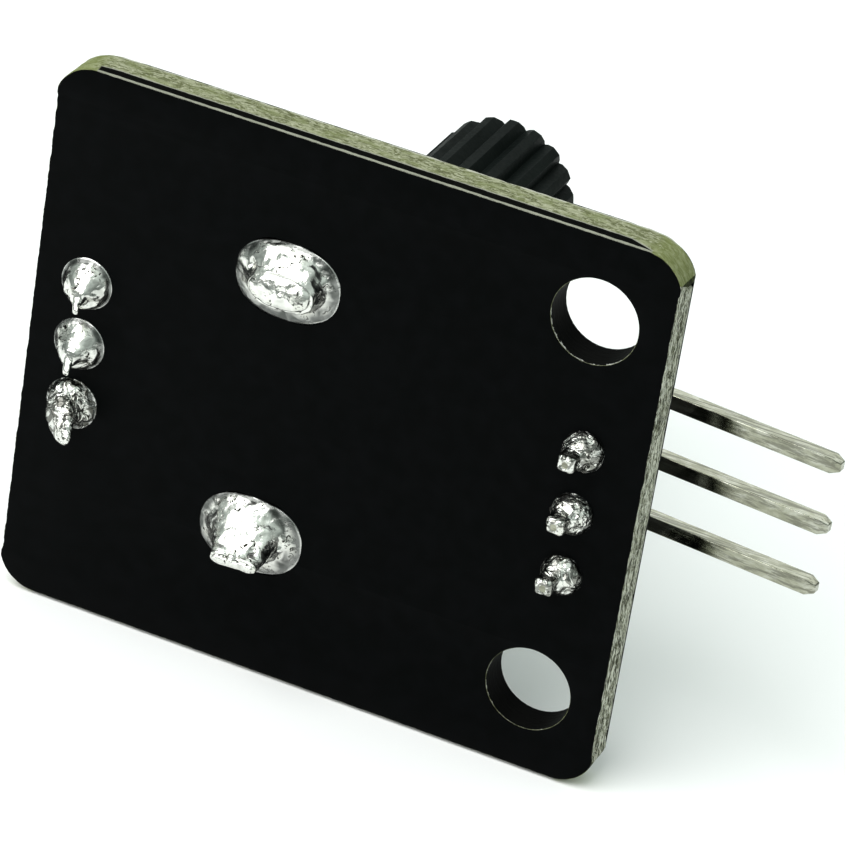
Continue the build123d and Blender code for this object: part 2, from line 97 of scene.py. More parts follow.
class Recipe:
    """A Principled material with short calls for the nodes that vary it."""

    def __init__(self, name, color, metallic=0.0, roughness=0.5, **sockets):
        self.material = bpy.data.materials.new(name)
        self.material.use_nodes = True
        self.tree = self.material.node_tree
        self.shader = self.tree.nodes["Principled BSDF"]
        self.shader.inputs["Base Color"].default_value = (*color, 1)
        self.shader.inputs["Metallic"].default_value = metallic
        self.shader.inputs["Roughness"].default_value = roughness
        for label, value in sockets.items():
            self.shader.inputs[label.replace("_", " ")].default_value = value
        self.coordinates = self.node("ShaderNodeTexCoord").outputs["Object"]

    def node(self, kind, **settings):
        made = self.tree.nodes.new(kind)
        for key, value in settings.items():
            setattr(made, key, value)
        return made

    def link(self, output, socket):
        self.tree.links.new(output, socket)
        return output

    def stretched(self, scale):
        """Object coordinates in millimetres, scaled along each axis."""
        mapping = self.node("ShaderNodeMapping")
        self.link(self.coordinates, mapping.inputs["Vector"])
        mapping.inputs["Scale"].default_value = [s / MM for s in scale]
        return mapping.outputs["Vector"]

    def noise(self, scale, detail=3.0, roughness=0.55, distortion=0.0):
        """Noise whose scale is given per millimetre, alike along all axes or along each."""
        if isinstance(scale, (int, float)):
            scale = (scale,) * 3
        texture = self.node("ShaderNodeTexNoise")
        self.link(self.stretched(scale), texture.inputs["Vector"])
        texture.inputs["Scale"].default_value = 1.0
        texture.inputs["Detail"].default_value = detail
        texture.inputs["Roughness"].default_value = roughness
        texture.inputs["Distortion"].default_value = distortion
        return texture.outputs["Fac"]

    def axis(self, name):
        """One object coordinate, in millimetres."""
        split = self.node("ShaderNodeSeparateXYZ")
        self.link(self.stretched((1, 1, 1)), split.inputs[0])
        return split.outputs[name]

    def math(self, operation, first, second=None, third=None):
        made = self.node("ShaderNodeMath", operation=operation)
        for socket, value in zip(made.inputs, (first, second, third)):
            if isinstance(value, (int, float)):
                socket.default_value = value
            elif value is not None:
                self.link(value, socket)
        return made.outputs[0]

    def spread(self, value, low, high, to_low=0.0, to_high=1.0):
        """Maps low..high to to_low..to_high, and holds the ends."""
        made = self.node("ShaderNodeMapRange")
        self.link(value, made.inputs["Value"])
        labels = ("From Min", "From Max", "To Min", "To Max")
        for label, number in zip(labels, (low, high, to_low, to_high)):
            made.inputs[label].default_value = number
        return made.outputs["Result"]

    def ramp(self, value, *stops):
        """Colour ramp through (position, colour) stops."""
        made = self.node("ShaderNodeValToRGB")
        elements = made.color_ramp.elements
        while len(elements) < len(stops):
            elements.new(0.5)
        for element, (position, color) in zip(elements, stops):
            element.position = position
            element.color = (*color, 1)
        self.link(value, made.inputs["Fac"])
        return made.outputs["Color"]

    def mix(self, factor, first, second, blend="MIX"):
        """Mixes two colours, each a socket or three numbers."""
        made = self.node("ShaderNodeMix", data_type="RGBA", blend_type=blend)
        if isinstance(factor, (int, float)):
            made.inputs["Factor"].default_value = factor
        else:
            self.link(factor, made.inputs["Factor"])
        for socket, value in ((made.inputs["A"], first), (made.inputs["B"], second)):
            colour_socket = [s for s in made.inputs if s.name == socket.name and s.type == "RGBA"][0]
            if isinstance(value, tuple):
                colour_socket.default_value = (*value, 1)
            else:
                self.link(value, colour_socket)
        return [s for s in made.outputs if s.type == "RGBA"][0]

    def color(self, output):
        self.link(output, self.shader.inputs["Base Color"])

    def roughness(self, output):
        self.link(output, self.shader.inputs["Roughness"])

    def bump(self, output, depth):
        """Bump of the given depth in millimetres."""
        made = self.node("ShaderNodeBump")
        made.inputs["Strength"].default_value = 1.0
        made.inputs["Distance"].default_value = depth * MM
        self.link(output, made.inputs["Height"])
        self.link(made.outputs["Normal"], self.shader.inputs["Normal"])


# ---------------------------------------------------------------- materials

STEP_Z = 9.96               # apex of the wedge broken out of the header edge
STEP_SLANT = 0.42           # how it widens towards the board's front
STEP_DEPTH = 0.08


def laminate_material():
    """Cut glass-epoxy: plies across the thickness, fibre ends along the edge, a dark score wall, painted
    highlight lines along the edges and painted shade in a broken wedge.
    """
    r = Recipe("cut_laminate", (0.21, 0.225, 0.13), roughness=0.75, Specular_IOR_Level=0.02)
    depth = r.math("SUBTRACT", r.axis("Y"), REAR_Y)
    half_height = r.math("ABSOLUTE", r.axis("Z"))
    blotches = r.noise((1.0, 2.2, 1.0), detail=4, roughness=0.6)
    fibres = r.noise((2.6, 6.5, 2.6), detail=5, roughness=0.72, distortion=1.0)
    flecks = r.noise((5.0, 9.0, 5.0), detail=3, roughness=0.7)
    tones = ((0.43, (0.105, 0.115, 0.055)), (0.5, (0.205, 0.218, 0.125)), (0.57, (0.33, 0.345, 0.23)))
    cut = r.ramp(fibres, *tones)
    cut = r.mix(r.spread(flecks, 0.57, 0.64, 0, 0.75), cut, (0.47, 0.48, 0.36))
    cut = r.mix(r.spread(blotches, 0.50, 0.62, 0, 0.6), cut, (0.185, 0.21, 0.095))
    # the short edges are sheared: paler, greyer fibres with dark gaps between the plies
    strands = r.noise((1.5, 7.5, 1.5), detail=5, roughness=0.7, distortion=1.6)
    tones = ((0.44, (0.07, 0.075, 0.045)), (0.5, (0.33, 0.34, 0.25)), (0.56, (0.66, 0.67, 0.57)))
    sheared = r.ramp(strands, *tones)
    sheared = r.mix(r.spread(flecks, 0.55, 0.62, 0, 0.6), sheared, (0.72, 0.73, 0.65))
    gaps = r.noise((1.1, 10.0, 1.1), detail=3, roughness=0.6, distortion=0.8)
    sheared = r.mix(r.spread(gaps, 0.45, 0.42, 0, 0.85), sheared, (0.03, 0.032, 0.02))
    middle_x = (LAMINATE_LOW.x + LAMINATE_HIGH.x) / 2
    half_length = (LAMINATE_HIGH.x - LAMINATE_LOW.x) / 2
    from_middle = r.math("ABSOLUTE", r.math("SUBTRACT", r.axis("X"), middle_x))
    from_end = r.math("SUBTRACT", half_length, from_middle)
    # the milled corners keep more of the resin's yellow-green
    corner = r.math("MULTIPLY", r.spread(from_end, 1.6, 1.1), r.spread(half_height, 9.4, 9.7))
    cut = r.mix(r.math("MULTIPLY", corner, 0.6), cut, (0.185, 0.215, 0.075))
    step_foot = r.math("SUBTRACT", STEP_Z, r.math("MULTIPLY", depth, STEP_SLANT))
    above_step = r.math("SUBTRACT", r.axis("Z"), step_foot)
    at_short_edge = r.math("MULTIPLY", r.spread(from_end, 0.30, 0.20), r.spread(half_height, 10.0, 9.92))
    at_short_edge = r.math("MULTIPLY", at_short_edge, r.spread(above_step, 0.03, 0.0))
    surface = r.mix(at_short_edge, cut, sheared)
    # broken wedge between the milled corner and the sheared edge, darkened with painted shade
    slanted = r.math("ADD", r.axis("Z"), r.math("MULTIPLY", depth, 0.05))
    below_corner = r.math("SUBTRACT", STEP_Z - 0.03, slanted)
    wedge = r.math("MULTIPLY", r.spread(above_step, 0.0, 0.03), r.spread(below_corner, 0.0, 0.03))
    wedge = r.math("MULTIPLY", wedge, r.math("GREATER_THAN", r.axis("X"), LAMINATE_HIGH.x - 0.7))
    # painted shade: the near-black colour of the wedge
    broken = r.mix(r.spread(flecks, 0.45, 0.6), (0.012, 0.014, 0.006), (0.05, 0.06, 0.02))
    surface = r.mix(wedge, surface, broken)
    # score wall on the long edges: a dark band between two pale lines, closing towards the ends; the
    # pale line drawn here is a painted highlight
    wobble = r.noise((2.5, 2.5, 2.5), detail=2)
    wavy = r.math("ADD", depth, r.spread(wobble, 0.3, 0.7, -0.010, 0.010))
    to_header_end = r.math("SUBTRACT", LAMINATE_HIGH.x, r.axis("X"))
    closing = r.math("SUBTRACT", wavy, r.spread(to_header_end, 1.31, 2.2, 0.0, 0.24))
    band = r.math("MULTIPLY", r.spread(wavy, 0.105, 0.125), r.spread(closing, 0.135, 0.115))
    along = r.math("MULTIPLY", r.spread(half_height, 10.76, 10.79), r.spread(to_header_end, 1.27, 1.33))
    from_far_end = r.math("SUBTRACT", r.axis("X"), LAMINATE_LOW.x)
    along = r.math("MULTIPLY", along, r.spread(from_far_end, 1.42, 1.46))
    # pale: painted highlight along the score's edge
    pale = r.math("MULTIPLY", r.spread(closing, 0.20, 0.15), along)
    surface = r.mix(r.math("MULTIPLY", pale, 0.8), surface, (0.29, 0.295, 0.25))
    surface = r.mix(r.math("MULTIPLY", band, along), surface, (0.002, 0.0022, 0.0018))
    # painted highlight: a pale line along the laminate's front edge
    front_rim_highlight = r.math("MULTIPLY", r.spread(depth, 1.36, 1.41), r.spread(blotches, 0.40, 0.5, 0, 0.8))
    r.color(r.mix(front_rim_highlight, surface, (0.48, 0.485, 0.42)))
    r.roughness(r.spread(fibres, 0.4, 0.6, 0.8, 0.55))
    r.bump(r.math("ADD", r.math("MULTIPLY", fibres, 0.7), r.math("MULTIPLY", strands, 0.5)), 0.06)
    return r.material


def drilled_material():
    """Wall of a drilled hole, near black as painted shade, with pale specks at its rear rim that are
    partly uncoated laminate and partly painted highlight.
    """
    # near-black base colour: painted shade inside the hole
    r = Recipe("drilled_wall", (0.0012, 0.0013, 0.0011), roughness=0.6, Specular_IOR_Level=0.02)
    depth = r.math("SUBTRACT", r.axis("Y"), REAR_Y)
    chips = r.noise(4.0, detail=4, roughness=0.75)
    drips = r.noise((1.6, 1.6, 1.6), detail=2)
    reach = r.math("MULTIPLY", r.spread(chips, 0.47, 0.58, 0.0, 0.10), r.spread(drips, 0.42, 0.55))
    uncoated_rim_and_highlight = r.math("LESS_THAN", depth, r.math("ADD", reach, 0.045))
    # pale rim colour: partly uncoated laminate, partly painted highlight
    rim = r.mix(r.spread(chips, 0.47, 0.56), (0.05, 0.052, 0.048), (0.50, 0.51, 0.47))
    r.color(r.mix(uncoated_rim_and_highlight, (0.0012, 0.0013, 0.0011), rim))
    r.bump(r.noise((2.0, 9.0, 2.0), detail=3), 0.02)
    return r.material


def mask_material():
    """Black solder mask: smooth, with a very low ripple from the coating."""
    r = Recipe("black_solder_mask", (0.0014, 0.0017, 0.0018), roughness=0.35, Specular_IOR_Level=0.02)
    ripple = r.noise(1.4, detail=2)
    grain = r.noise(9.0, detail=2)
    r.color(r.mix(r.spread(ripple, 0.35, 0.7), (0.0011, 0.0014, 0.0014), (0.0017, 0.0020, 0.0022)))
    r.roughness(r.spread(grain, 0.3, 0.7, 0.30, 0.42))
    r.bump(r.math("ADD", ripple, r.math("MULTIPLY", grain, 0.15)), 0.003)
    return r.material


def solder_material(name, mottle):
    """Solder: smooth bright mounds, a greyer coat at their foot whose grey is painted shade, pits and
    dark specks.
    """
    r = Recipe(name, (0.72, 0.72, 0.68), metallic=1.0, roughness=0.2)
    height = r.math("SUBTRACT", REAR_Y, r.axis("Y"))
    patches = r.noise(1.6, detail=2, roughness=0.5, distortion=0.6)
    crinkle = r.noise(2.3, detail=2, roughness=0.55, distortion=1.8)
    grain = r.noise(7.0, detail=3, roughness=0.6)
    specks = r.noise(5.0, detail=2, roughness=0.5, distortion=1.5)
    tones = ((0.36, (0.56, 0.565, 0.53)), (0.5, (0.80, 0.805, 0.76)), (0.62, (0.70, 0.705, 0.65)))
    body = r.ramp(patches, *tones)
    # grey at the foot: painted shade, darker low down by the board and lighter on the tall parts
    grey = r.mix(r.spread(patches, 0.40, 0.60), (0.10, 0.105, 0.098), (0.23, 0.235, 0.225))
    film_and_shade = r.spread(r.math("ADD", height, r.spread(patches, 0.35, 0.65, -0.05, 0.05)), 0.25, 0.12)
    surface = r.mix(film_and_shade, body, grey)
    surface = r.mix(r.spread(height, 0.05, 0.03), surface, (0.62, 0.625, 0.60))
    dross = r.math("MULTIPLY", r.spread(crinkle, 0.50, 0.545), mottle)
    surface = r.mix(dross, surface, (0.085, 0.085, 0.072))
    clusters = r.math("MULTIPLY", r.spread(patches, 0.52, 0.58), r.spread(film_and_shade, 1.0, 0.3, 0.25, 1.0))
    dark = r.math("MULTIPLY", r.spread(specks, 0.57, 0.61), clusters)
    r.color(r.mix(dark, surface, (0.015, 0.015, 0.012)))
    gloss = r.spread(patches, 0.38, 0.62, 0.12, 0.22)
    r.roughness(r.math("ADD", gloss, r.math("MULTIPLY", film_and_shade, 0.06)))
    crinkled = r.math("MULTIPLY", crinkle, 1.1 * mottle + 0.2)
    relief = r.math("ADD", r.math("MULTIPLY", grain, 0.18), crinkled)
    r.bump(r.math("SUBTRACT", relief, r.math("MULTIPLY", dark, 0.5)), 0.05 + 0.05 * mottle)
    return r.material


def pin_material():
    """Tin-plated drawn wire: mirror-like, faintly warm, with scratches along its length."""
    r = Recipe("tinned_pin", (0.52, 0.52, 0.43), metallic=1.0, roughness=0.14)
    drawn = r.noise((0.5, 14.0, 14.0), detail=4, roughness=0.7)
    smudges = r.noise((1.3, 3.0, 3.0), detail=4, roughness=0.65, distortion=0.4)
    tones = ((0.36, (0.28, 0.285, 0.215)), (0.5, (0.37, 0.375, 0.295)), (0.64, (0.48, 0.485, 0.415)))
    plating = r.ramp(smudges, *tones)
    streaks = r.noise((0.25, 7.0, 7.0), detail=4, roughness=0.7)
    r.color(r.mix(r.spread(streaks, 0.47, 0.56, 0, 0.75), plating, (0.14, 0.14, 0.11)))
    r.roughness(r.spread(smudges, 0.35, 0.7, 0.09, 0.04))
    r.bump(r.math("ADD", r.math("MULTIPLY", drawn, 1.4), r.math("MULTIPLY", smudges, 0.2)), 0.003)
    return r.material


def metal_material(name, color, roughness, grain, depth):
    """Plain worked metal: fine grain with slow changes in gloss."""
    r = Recipe(name, color, metallic=1.0, roughness=roughness)
    fine = r.noise(grain, detail=4, roughness=0.65)
    slow = r.noise(0.5, detail=3)
    darker = tuple(0.72 * c for c in color)
    r.color(r.mix(r.spread(slow, 0.35, 0.7), color, darker))
    grained = r.spread(fine, 0.35, 0.65, roughness - 0.06, roughness + 0.08)
    r.roughness(r.math("ADD", grained, r.spread(slow, 0.3, 0.7, -0.04, 0.06)))
    r.bump(fine, depth)
    return r.material


def plastic_material(name, color, roughness, grain=14.0, depth=0.006, specular=0.4):
    """Moulded plastic with a fine grain and a slight change of tone."""
    r = Recipe(name, color, roughness=roughness, Specular_IOR_Level=specular)
    fine = r.noise(grain, detail=3, roughness=0.6)
    slow = r.noise(0.45, detail=3)
    lighter = tuple(1.45 * c + 0.002 for c in color)
    r.color(r.mix(r.spread(slow, 0.35, 0.7), color, lighter))
    r.roughness(r.spread(fine, 0.35, 0.65, roughness - 0.07, roughness + 0.07))
    r.bump(fine, depth)
    return r.material


LAMINATE = laminate_material()
MASK = mask_material()
DRILLED = drilled_material()
SOLDER = solder_material("bright_solder", 0.0)
PIN_SOLDER = solder_material("pin_solder", 0.75)
DULL_SOLDER = solder_material("frosted_solder", 0.9)
PIN = pin_material()
COVER = metal_material("tinned_sheet_steel", (0.62, 0.63, 0.63), 0.28, (0.6, 22.0, 22.0), 0.004)
ZINC = metal_material("cast_zinc", (0.56, 0.57, 0.58), 0.34, 7.0, 0.010)
SPRING = metal_material("spring_steel", (0.50, 0.50, 0.51), 0.25, 12.0, 0.003)
CONTACT = metal_material("silvered_brass", (0.74, 0.71, 0.60), 0.24, 10.0, 0.004)
TINNED = metal_material("tinned_pad", (0.74, 0.74, 0.71), 0.30, 8.0, 0.006)
COPPER = metal_material("copper_foil", (0.72, 0.37, 0.20), 0.35, 10.0, 0.003)
BASE = plastic_material("moulded_base", (0.012, 0.012, 0.013), 0.48)
HEADER = plastic_material("header_plastic", (0.010, 0.010, 0.011), 0.42)
ROTOR = plastic_material("natural_acetal", (0.62, 0.60, 0.50), 0.42)
SHAFT = plastic_material(
    "shaft_plastic", (0.0030, 0.0048, 0.0042), 0.50, grain=6.0, depth=0.012, specular=0.04)
INK = plastic_material("white_ink", (0.66, 0.66, 0.63), 0.6, grain=20.0)

for node, finish in {
    "board_laminate": LAMINATE,
    "solder_mask_rear": MASK,
    "solder_mask_front": MASK,
    "front_tracks": COPPER,
    "silkscreen_front": INK,
    "plated_terminal_holes": TINNED,
    "plated_lug_slots": TINNED,
    "plated_header_holes": TINNED,
    "header_block": HEADER,
    "encoder_cover": COVER,
    "bushing": ZINC,
    "encoder_base": BASE,
    "terminal_a": CONTACT,
    "terminal_common": CONTACT,
    "terminal_b": CONTACT,
    "detent_spring": SPRING,
    "rotor": ROTOR,
    "code_disc": CONTACT,
    "shaft": SHAFT,
    "retaining_ring": SPRING,
}.items():
    nodes[node].data.materials.clear()
    nodes[node].data.materials.append(finish)

# ---------------------------------------------------------------- mesh helpers


def make_piece(name, points, faces, finish, body="board", sharp=40, second=None, second_faces=()):
    """Mesh object from points in millimetres, smooth except at edges sharper than given."""
    mesh = bpy.data.meshes.new(name)
    mesh.from_pydata([Vector(p) * MM for p in points], [], faces)
    for index in second_faces:
        mesh.polygons[index].material_index = 1
    work = bmesh.new()
    work.from_mesh(mesh)
    bmesh.ops.recalc_face_normals(work, faces=work.faces)
    work.to_mesh(mesh)
    work.free()
    mesh.polygons.foreach_set("use_smooth", [True] * len(mesh.polygons))
    mesh.set_sharp_from_angle(angle=math.radians(sharp))
    mesh.materials.append(finish)
    if second:
        mesh.materials.append(second)
    piece = bpy.data.objects.new(name, mesh)
    bpy.context.scene.collection.objects.link(piece)
    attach(piece, body)
    return piece


def softened(node, width, segments=3, body="board"):
    """A copy of a CAD node with rounded edges, standing for it."""
    source = nodes[node].data
    work = bmesh.new()
    corners = [work.verts.new(v.co) for v in source.vertices]
    for polygon in source.polygons:
        try:
            work.faces.new([corners[i] for i in polygon.vertices])
        except ValueError:
            pass
    bmesh.ops.remove_doubles(work, verts=work.verts, dist=0.0005 * MM)
    bmesh.ops.dissolve_limit(work, angle_limit=math.radians(0.5), verts=work.verts, edges=work.edges)
    mesh = bpy.data.meshes.new(node + "_soft")
    work.to_mesh(mesh)
    work.free()
    mesh.materials.append(source.materials[0])
    mesh.polygons.foreach_set("use_smooth", [True] * len(mesh.polygons))
    piece = bpy.data.objects.new(node + "_soft", mesh)
    bpy.context.scene.collection.objects.link(piece)
    bevel = piece.modifiers.new("soft_edges", "BEVEL")
    bevel.width = width * MM
    bevel.segments = segments
    bevel.limit_method = "ANGLE"
    bevel.angle_limit = math.radians(32)
    bevel.harden_normals = True
    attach(piece, body)
    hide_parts(node)
    return piece


def catmull(values, t):
    """Smooth value through a list, for t from 0 to its last index."""
    index = min(int(t), len(values) - 2)
    part = t - index
    before = values[max(index - 1, 0)]
    start = values[index]
    end = values[index + 1]
    after = values[min(index + 2, len(values) - 1)]
    return 0.5 * (
        2 * start
        + (end - before) * part
        + (2 * before - 5 * start + 4 * end - after) * part**2
        + (3 * start - before - 3 * end + after) * part**3
    )


def hashed(point, scale, seed):
    """Smooth noise between -1 and 1 at a point in millimetres."""
    return noise.noise(Vector(point) * scale + Vector((seed * 7.13, seed * 3.7, seed * 5.9)))


# ---------------------------------------------------------------- board

CORNER_RADIUS = 1.55
SHORT_EDGE_TRIM = 0.08      # the short edges are sheared this far inside the milled outline
SCORE_INSET = 0.13          # how far the ridge left by the score stands past the milled outline
SCORE_DEPTH = 0.45
RIDGE_END = 0.25
RIDGE_FADE = 1.9
EDGE_STEP = 0.09
HOLE_SEGMENTS = 72
PLIES = 8
LEVELS_PER_PLY = 3
MASK_INSET = 0.015          # the mask stops this far short of each edge of the laminate
MASK_ROUNDING = 0.016


def board_perimeter(inset=0.0):
    """Points and outward directions round the milled outline, anticlockwise seen from the front."""
    half_x = (LAMINATE_HIGH.x - LAMINATE_LOW.x) / 2 + SHORT_EDGE_TRIM
    half_z = LAMINATE_HIGH.z - SCORE_INSET
    middle = Vector(((LAMINATE_LOW.x + LAMINATE_HIGH.x) / 2, 0))
    trim = half_x - SHORT_EDGE_TRIM

    def corner_centre(quarter):
        sign_x = 1 if quarter in (0, 3) else -1
        sign_z = 1 if quarter in (0, 1) else -1
        return Vector((sign_x * (half_x - CORNER_RADIUS), sign_z * (half_z - CORNER_RADIUS)))

    points = []
    for quarter in range(4):
        angle = quarter * math.pi / 2
        centre = corner_centre(quarter)
        steps = int(CORNER_RADIUS * math.pi / 2 / EDGE_STEP)
        for k in range(steps + 1):
            turn = angle + k * math.pi / 2 / steps
            out = Vector((math.cos(turn), math.sin(turn)))
            points.append((centre + out * CORNER_RADIUS, out))
        next_centre = corner_centre((quarter + 1) % 4)
        run = (next_centre - centre).length
        out = Vector((round(math.cos(angle + math.pi / 2)), round(math.sin(angle + math.pi / 2))))
        count = int(run / EDGE_STEP)
        for k in range(1, count):
            points.append((centre + out * CORNER_RADIUS + (next_centre - centre) * k / count, out))
    result = []
    for place, out in points:
        x = max(-trim, min(trim, place.x))
        result.append((middle + Vector((x, place.y)) - out * inset, out))
    return result


def hole_rings(radius):
    """Two round openings for the mounting screws."""
    for sign in (1, -1):
        centre = Vector((HOLE_X, sign * HOLE_Z))
        yield [
            (centre + radius * Vector((math.cos(a), math.sin(a))), -Vector((math.cos(a), math.sin(a))))
            for a in (-2 * math.pi * k / HOLE_SEGMENTS for k in range(HOLE_SEGMENTS))
        ]


def ridge_height(place, out, depth):
    """How far the ridge left by the score stands past the milled outline, fading at its ends."""
    if out.y == 0:
        return 0.0
    middle_x = (LAMINATE_LOW.x + LAMINATE_HIGH.x) / 2
    from_end = (LAMINATE_HIGH.x - LAMINATE_LOW.x) / 2 - abs(place.x - middle_x)
    t = min(1.0, max(0.0, (from_end - RIDGE_END) / RIDGE_FADE))
    return SCORE_INSET * min(1.0, depth / SCORE_DEPTH) * t * t * (3 - 2 * t)


def edge_roughness(place, out, depth, thickness):
    """Fibre ends, ply ledges and chips of the cut edge, mostly inwards."""
    ply = math.floor(PLIES * depth / thickness)
    coarse = hashed((place.x, depth * 0.9, place.y), 2.2, 3)
    ledge = hashed((place.x * 1.6, ply * 1.7, place.y * 1.6), 1.4, 5)
    fine = hashed((place.x, depth * 2.0, place.y), 6.0, 4)
    if abs(out.x) > 0.99:
        in_middle = math.sin(math.pi * min(1.0, max(0.0, depth / thickness)))
        return 0.026 * coarse + 0.06 * in_middle * ledge + (0.018 + 0.03 * in_middle) * fine - 0.045
    if depth < SCORE_DEPTH:
        return 0.005 * fine
    return 0.010 * coarse + 0.016 * ledge + 0.010 * fine - 0.016


def corner_step(place, out, depth):
    """Small wedge broken out where the milled corner meets the sheared edge by the upper hole."""
    if out.x < 0.99 or place.y < 0:
        return 0.0
    wedge_foot = STEP_Z - STEP_SLANT * depth
    return -STEP_DEPTH if wedge_foot < place.y < STEP_Z else 0.0


def fill_between(rings, points, faces, flip):
    """Covers the region inside the first ring and outside the others."""
    loops = [[Vector(points[i]) for i in ring] for ring in rings]
    order = [i for ring in rings for i in ring]
    for triangle in geometry.tessellate_polygon(loops):
        corner = [order[i] for i in triangle]
        faces.append(tuple(reversed(corner)) if flip else tuple(corner))


def plate(name, finish, levels, outline, openings, displace, wall_finish=None):
    """Closed plate with walls sampled at several depths; levels are (y, inset) from rear to front."""
    points = []
    faces = []
    opening_walls = []
    end_rings = ([], [])
    for loop_index, loop in enumerate([outline] + openings):
        columns = len(loop)
        first = len(points)
        for y, inset in levels:
            for place, out in loop:
                moved = place + out * (displace(place, out, y, loop_index) - inset)
                points.append((moved.x, y, moved.y))
        for level in range(len(levels) - 1):
            for k in range(columns):
                a = first + level * columns + k
                b = first + level * columns + (k + 1) % columns
                if loop_index:
                    opening_walls.append(len(faces))
                faces.append((a, b, b + columns, a + columns))
        end_rings[0].append([first + k for k in range(columns)])
        end_rings[1].append([first + (len(levels) - 1) * columns + k for k in range(columns)])
    fill_between(end_rings[0], points, faces, flip=False)
    fill_between(end_rings[1], points, faces, flip=True)
    if not wall_finish:
        opening_walls = []
    return make_piece(
        name, points, faces, finish, sharp=35, second=wall_finish, second_faces=opening_walls)


def build_board():
    thickness = LAMINATE_HIGH.y - LAMINATE_LOW.y
    count = PLIES * LEVELS_PER_PLY
    levels = [(LAMINATE_LOW.y + thickness * k / count, 0.0) for k in range(count + 1)]

    def laminate_shape(place, out, y, loop_index):
        if loop_index:
            return 0.0
        depth = y - REAR_Y
        shape = ridge_height(place, out, depth) + corner_step(place, out, depth)
        return shape + edge_roughness(place, out, depth, thickness)

    openings = list(hole_rings(HOLE_RADIUS))
    outline = board_perimeter()
    laminate = plate("laminate_board", LAMINATE, levels, outline, openings, laminate_shape, DRILLED)
    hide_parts("board_laminate")

    def mask_shape(place, out, y, loop_index):
        if loop_index:
            return 0.006 * hashed((place.x, 0, place.y), 5.0, 9)
        ragged = 0.012 * hashed((place.x, 0, place.y), 5.5, 8)
        return edge_roughness(place, out, 0.0, thickness) + ragged

    levels = [
        (REAR_Y, MASK_ROUNDING),
        (REAR_Y + 0.25 * MASK_ROUNDING, 0.3 * MASK_ROUNDING),
        (REAR_Y + MASK_ROUNDING, 0.0),
        (REAR_Y + MASK_THICKNESS, 0.0),
    ]
    outline = board_perimeter(MASK_INSET)
    openings = list(hole_rings(HOLE_RADIUS + MASK_INSET))
    mask = plate("rear_mask_sheet", MASK, levels, outline, openings, mask_shape)
    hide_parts("solder_mask_rear")


build_board()

# ---------------------------------------------------------------- solder joints

JOINT_SEGMENTS = 128
JOINT_RINGS = 72
JOINT_FOOT = -0.03          # every joint starts this far inside its pad
HOLLOW_TOP = 1.01           # the terminals' hollows end below their bent tips
STUB_HALF_SIDE = 0.31       # half of the pin's leaning square section, along X
STUB_SLOPE = 0.112          # how much the header leans, across per along
SOLDER_SKIN = 0.012


def solder_joint(name, node, centre, rings, seed, finish=SOLDER, wrinkle=1.0, dents=(), dent_top=9.0):
    """Closed mound behind the board, lofted through rings of
    (height, shift x, shift z, half length, half width, squareness); dents are (x, z, radius, depth),
    and reach no ring above dent_top."""
    columns = list(zip(*rings))
    last = len(rings) - 1
    points = []
    faces = []
    for ring in range(JOINT_RINGS + 1):
        t = last * ring / JOINT_RINGS
        height, dx, dz, a, b, power = (catmull(column, t) for column in columns)
        below = min(1.0, max(0.0, (dent_top - height) / 0.08))
        for k in range(JOINT_SEGMENTS):
            turn = 2 * math.pi * k / JOINT_SEGMENTS
            c, s = math.cos(turn), math.sin(turn)
            reach = (abs(c / a) ** power + abs(s / b) ** power) ** (-1 / power)
            point = Vector((centre[0] + dx + reach * c, REAR_Y - height, centre[1] + dz + reach * s))
            free = min(1.0, height / 0.12)
            out = Vector((c, -0.5, s))
            lump = 0.05 * hashed(point, 1.3, seed) + 0.022 * hashed(point, 3.4, seed + 1)
            lump += 0.007 * hashed(point, 9.0, seed + 2)
            point += out * lump * wrinkle * free * min(1.0, 2.2 * reach)
            for dent_x, dent_z, radius, deep in dents:
                away = math.hypot(point.x - centre[0] - dent_x, point.z - centre[1] - dent_z) / radius
                point.y += deep * free * below * max(0.0, 1 - away * away) ** 2
            points.append(point)
    for ring in range(JOINT_RINGS):
        for k in range(JOINT_SEGMENTS):
            a = ring * JOINT_SEGMENTS + k
            b = ring * JOINT_SEGMENTS + (k + 1) % JOINT_SEGMENTS
            faces.append((a, b, b + JOINT_SEGMENTS, a + JOINT_SEGMENTS))
    tip_ring = points[-JOINT_SEGMENTS:]
    tip = sum(tip_ring, Vector()) / JOINT_SEGMENTS
    points.append(tip + Vector((0, -0.012, 0)))
    first_of_tip = JOINT_RINGS * JOINT_SEGMENTS
    for k in range(JOINT_SEGMENTS):
        faces.append((first_of_tip + k, first_of_tip + (k + 1) % JOINT_SEGMENTS, len(points) - 1))
    faces.append(tuple(range(JOINT_SEGMENTS)))
    piece = make_piece(name, points, faces, finish, sharp=75)
    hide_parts(node)
    return piece


